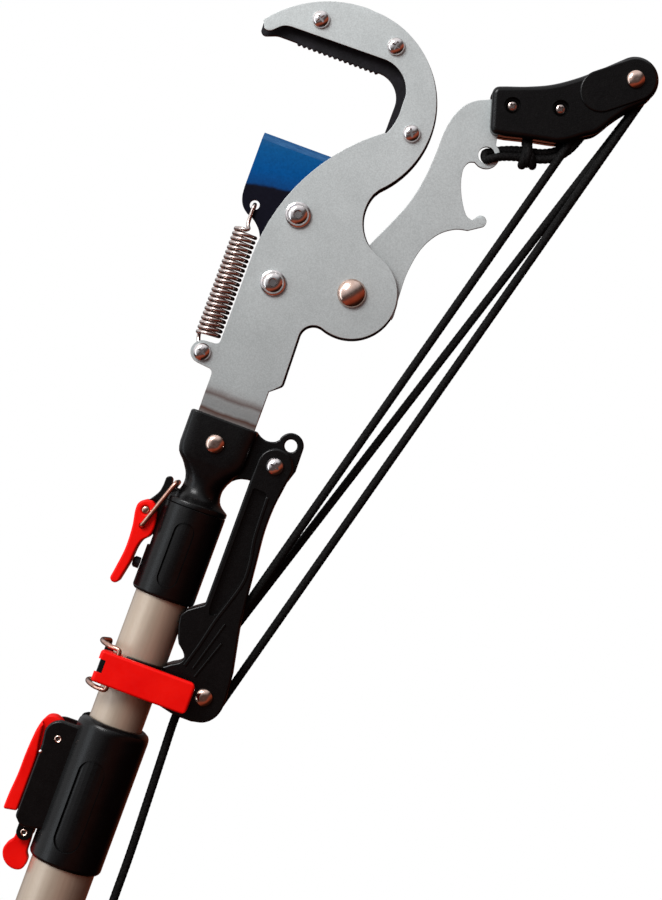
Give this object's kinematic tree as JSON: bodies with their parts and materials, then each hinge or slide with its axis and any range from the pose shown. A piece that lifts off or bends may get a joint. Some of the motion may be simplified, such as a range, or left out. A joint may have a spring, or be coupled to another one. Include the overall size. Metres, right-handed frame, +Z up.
{
  "type": "telescopic pole pruner",
  "caption": "Long-reach pruner: hooked guillotine head worked by a rope and pulley arm, clamped on a two-section telescopic tube pole with lever locks.",
  "frame": {"origin": "centre of the flat butt face of the end cap, on the pole's axis", "axes": "+Z up the pole towards the hook, +X towards the lever arm and the rope, +Y away from the side with the bolt heads"},
  "size_m": [0.1786, 0.084, 1.279],
  "materials": {
    "silver_plate": "fine blasted silver-grey coat",
    "black_plate": "satin black coat",
    "blue_blade": "blue non-stick coat over a dark steel shank",
    "nickel": "bright nickel plate",
    "spring_steel": "plated wire",
    "black_plastic": "fine satin moulding",
    "red_plastic": "red-orange gloss moulding",
    "tube_aluminium": "satin anodised",
    "black_rubber": "matt",
    "black_rope": "braided polyester"
  },
  "bodies": {
    "outer_pole": {"outer_tube": "tube_aluminium", "end_cap": "black_rubber", "hand_grip": "black_rubber", "pole_lock_housing": "black_plastic", "pole_lock_pin": "nickel", "catch_pin": "nickel"},
    "head": {"inner_tube": "tube_aluminium", "inner_tube_foot": "black_plastic", "front_plate": "silver_plate", "counter_plate": "black_plate", "hook_screw_tip": "nickel", "hook_screw_top": "nickel", "hook_screw_back": "nickel", "hook_spacer_tip": "nickel", "hook_spacer_top": "nickel", "hook_spacer_back": "nickel", "spring_screw": "nickel", "return_spring": "spring_steel", "guide_bolt_lower": "nickel", "guide_bolt_upper": "nickel", "guide_sleeve_lower": "nickel", "guide_sleeve_upper": "nickel", "pivot_rivet": "nickel", "pivot_bush": "nickel", "head_socket": "black_plastic", "socket_rivet": "nickel", "rope_bracket": "black_plastic", "bracket_screw": "nickel", "bracket_axle": "nickel", "clamp_pin": "nickel", "head_lock_housing": "black_plastic", "head_lock_pin": "nickel", "head_lock_stop": "black_plate", "rope_lower_turn": "black_rope", "rope_strand_first": "black_rope", "rope_strand_second": "black_rope", "rope_strand_third": "black_rope", "rope_fall": "black_rope"},
    "blade": {"blade": "blue_blade"},
    "lever": {"lever_plate": "silver_plate", "arm_cheek_front": "black_plastic", "arm_cheek_back": "black_plastic", "arm_screw_inner": "nickel", "arm_screw_outer": "nickel", "arm_axle": "nickel", "rope_tie": "black_rope", "rope_upper_turn": "black_rope"},
    "upper_sheave_front": {"upper_sheave_front": "black_plastic"},
    "upper_sheave_back": {"upper_sheave_back": "black_plastic"},
    "lower_sheave_front": {"lower_sheave_front": "black_plastic"},
    "lower_sheave_back": {"lower_sheave_back": "black_plastic"},
    "head_lock_lever": {"head_lock_lever": "red_plastic"},
    "head_lock_bail": {"head_lock_bail": "nickel"},
    "clamp_lever": {"clamp_lever": "red_plastic"},
    "clamp_bail": {"clamp_bail": "nickel"},
    "pole_lock_lever": {"pole_lock_lever": "red_plastic"},
    "pole_lock_catch": {"pole_lock_catch": "red_plastic"},
    "pull_handle": {"pull_handle": "black_plastic"}
  },
  "joints": [
    {"name": "pole_extension", "type": "slide", "parent": "outer_pole", "child": "head", "axis": [0, 0, 1], "range_m": [0, 0.75]},
    {"name": "lever_pivot", "type": "hinge", "parent": "head", "child": "lever", "pos_m": [0.0332, 0, 1.1333], "axis": [0, 1, 0], "range_deg": [0, 135.5], "stiffness_Nm_per_rad": 0.29, "springref_deg": -77.92, "deforming": ["rope_strand_first", "rope_strand_second", "rope_strand_third"]},
    {"name": "blade_slide", "type": "slide", "parent": "head", "child": "blade", "axis": [0, 0, 1], "range_m": [0, 0.0444], "deforming": ["return_spring"]},
    {"name": "upper_front_sheave_spin", "type": "hinge", "parent": "lever", "child": "upper_sheave_front", "pos_m": [0.1203, 0, 1.2682], "axis": [0, 1, 0], "continuous": true},
    {"name": "upper_back_sheave_spin", "type": "hinge", "parent": "lever", "child": "upper_sheave_back", "pos_m": [0.1203, 0, 1.2682], "axis": [0, 1, 0], "continuous": true},
    {"name": "lower_front_sheave_spin", "type": "hinge", "parent": "head", "child": "lower_sheave_front", "pos_m": [0.0338, 0, 0.9383], "axis": [0, 1, 0], "continuous": true},
    {"name": "lower_back_sheave_spin", "type": "hinge", "parent": "head", "child": "lower_sheave_back", "pos_m": [0.0338, 0, 0.9383], "axis": [0, 1, 0], "continuous": true},
    {"name": "head_lock_lever_hinge", "type": "hinge", "parent": "head", "child": "head_lock_lever", "pos_m": [-0.0204, 0, 1.0087], "axis": [0, 1, 0], "range_deg": [0, 90]},
    {"name": "head_lock_bail_hinge", "type": "hinge", "parent": "head_lock_lever", "child": "head_lock_bail", "pos_m": [-0.0196, 0, 1.0015], "axis": [0, 1, 0], "range_deg": [-66, 0]},
    {"name": "clamp_lever_hinge", "type": "hinge", "parent": "head", "child": "clamp_lever", "pos_m": [-0.01, -0.0134, 0.9367], "axis": [0, 0, -1], "range_deg": [0, 90]},
    {"name": "clamp_bail_hinge", "type": "hinge", "parent": "clamp_lever", "child": "clamp_bail", "pos_m": [-0.0085, -0.0182, 0.9367], "axis": [0, 0, -1], "range_deg": [-76, 0]},
    {"name": "pole_lock_lever_hinge", "type": "hinge", "parent": "outer_pole", "child": "pole_lock_lever", "pos_m": [-0.0216, 0, 0.8979], "axis": [0, 1, 0], "range_deg": [0, 65]},
    {"name": "pole_lock_catch_hinge", "type": "hinge", "parent": "outer_pole", "child": "pole_lock_catch", "pos_m": [-0.0216, 0, 0.8524], "axis": [0, 1, 0], "range_deg": [0, 20]},
    {"name": "pull_handle_slide", "type": "slide", "parent": "head", "child": "pull_handle", "axis": [0, 0, -1], "range_m": [0, 0.876], "deforming": ["rope_fall"]}
  ],
  "couplings": [
    {"joint": "blade_slide", "follows": "lever_pivot", "m_per_rad": 0.01875},
    {"joint": "pull_handle_slide", "follows": "lever_pivot", "m_per_rad": 0.37},
    {"joint": "upper_front_sheave_spin", "follows": "lever_pivot", "ratio": -30.84},
    {"joint": "lower_back_sheave_spin", "follows": "lever_pivot", "ratio": -15.42},
    {"joint": "lower_front_sheave_spin", "follows": "lever_pivot", "ratio": -46.25},
    {"joint": "head_lock_bail_hinge", "follows": "head_lock_lever_hinge", "ratio": -0.73},
    {"joint": "clamp_bail_hinge", "follows": "clamp_lever_hinge", "ratio": -0.844}
  ]
}
